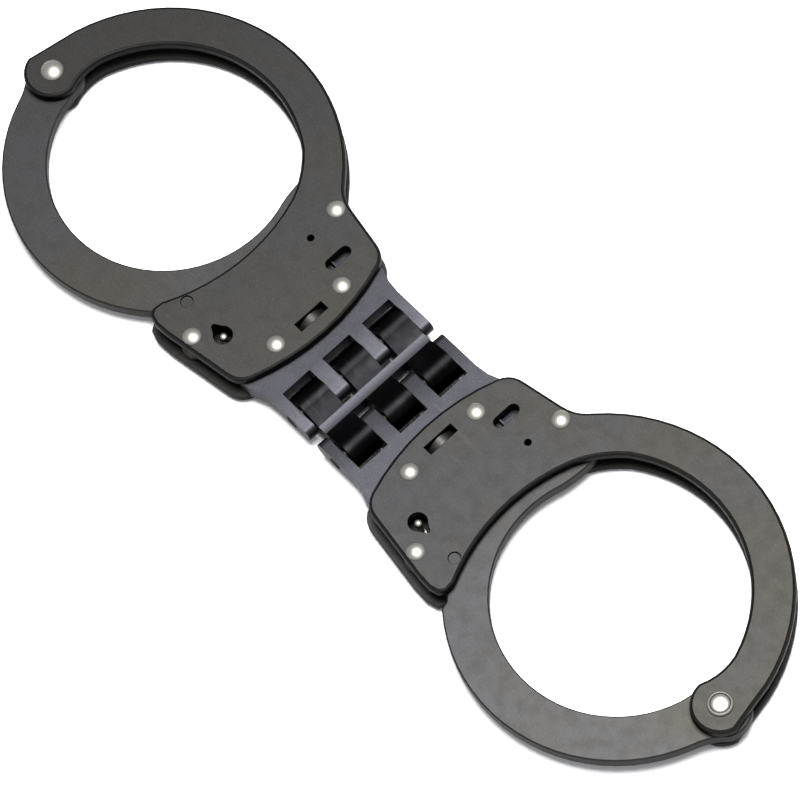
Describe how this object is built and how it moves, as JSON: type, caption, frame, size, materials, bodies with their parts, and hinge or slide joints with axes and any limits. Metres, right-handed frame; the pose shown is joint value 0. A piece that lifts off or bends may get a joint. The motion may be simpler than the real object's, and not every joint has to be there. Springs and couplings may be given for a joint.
{
  "type": "handcuffs",
  "caption": "Hinged handcuffs of dark steel: a toothed jaw swings through each pair of cheek plates, and knuckled leaves fold flat on a central link.",
  "frame": {"origin": "bottom centre of the whole box, with the cuffs laid out flat on the heads of their rear rivets", "axes": "+X from cuff A to cuff B, +Y along the hinge pins towards the fixed arms, +Z out of the front cheeks"},
  "size_m": [0.2222, 0.0742, 0.0106],
  "materials": {
    "blued_plate": "dark tumbled blued steel",
    "blued_jaw": "dark tumbled blued steel",
    "blued_leaf": "dark blued steel",
    "black_link": "glossy black",
    "nickel": "bright nickel",
    "plain_steel": "plain steel"
  },
  "bodies": {
    "frame_a": {"front_cheek_a": "blued_plate", "rear_cheek_a": "blued_plate", "jaw_pivot_a": "nickel", "arm_rivet_a": "nickel", "upper_leaf_rivet_a": "nickel", "lower_leaf_rivet_a": "nickel", "pawl_rivet_a": "nickel", "key_post_a": "nickel", "hinge_leaf_a": "blued_leaf", "hinge_pin_a": "plain_steel", "window_spring_a": "plain_steel"},
    "jaw_a": {"jaw_a": "blued_jaw"},
    "pawl_a": {"pawl_a": "plain_steel", "pawl_spring_a": "plain_steel"},
    "lock_slide_a": {"lock_slide_a": "blued_leaf"},
    "frame_b": {"front_cheek_b": "blued_plate", "rear_cheek_b": "blued_plate", "jaw_pivot_b": "nickel", "arm_rivet_b": "nickel", "upper_leaf_rivet_b": "nickel", "lower_leaf_rivet_b": "nickel", "pawl_rivet_b": "nickel", "key_post_b": "nickel", "hinge_leaf_b": "blued_leaf", "hinge_pin_b": "plain_steel", "window_spring_b": "plain_steel"},
    "jaw_b": {"jaw_b": "blued_jaw"},
    "pawl_b": {"pawl_b": "plain_steel", "pawl_spring_b": "plain_steel"},
    "lock_slide_b": {"lock_slide_b": "blued_leaf"},
    "link": {"hinge_link": "black_link"}
  },
  "joints": [
    {"name": "hinge_a", "type": "hinge", "parent": "frame_a", "child": "link", "pos_m": [-0.0068, 0, 0.00515], "axis": [0, 1, 0], "range_deg": [-90, 90]},
    {"name": "hinge_b", "type": "hinge", "parent": "link", "child": "frame_b", "pos_m": [0.0068, 0, 0.00515], "axis": [0, 1, 0], "range_deg": [-90, 90]},
    {"name": "jaw_turn_a", "type": "hinge", "parent": "frame_a", "child": "jaw_a", "pos_m": [-0.10462, -0.00303, 0.00515], "axis": [0, 0, 1], "continuous": true},
    {"name": "pawl_lift_a", "type": "hinge", "parent": "frame_a", "child": "pawl_a", "pos_m": [-0.0352, -0.02411, 0.00515], "axis": [0, 0, -1], "range_deg": [0, 3.5], "stiffness_Nm_per_rad": 0.05},
    {"name": "lock_slide_a", "type": "slide", "parent": "frame_a", "child": "lock_slide_a", "axis": [0, -1, 0], "range_m": [0, 0.0022]},
    {"name": "jaw_turn_b", "type": "hinge", "parent": "frame_b", "child": "jaw_b", "pos_m": [0.10462, -0.00303, 0.00515], "axis": [0, 0, -1], "continuous": true},
    {"name": "pawl_lift_b", "type": "hinge", "parent": "frame_b", "child": "pawl_b", "pos_m": [0.0352, -0.02411, 0.00515], "axis": [0, 0, 1], "range_deg": [0, 3.5], "stiffness_Nm_per_rad": 0.05},
    {"name": "lock_slide_b", "type": "slide", "parent": "frame_b", "child": "lock_slide_b", "axis": [0, -1, 0], "range_m": [0, 0.0022]}
  ]
}
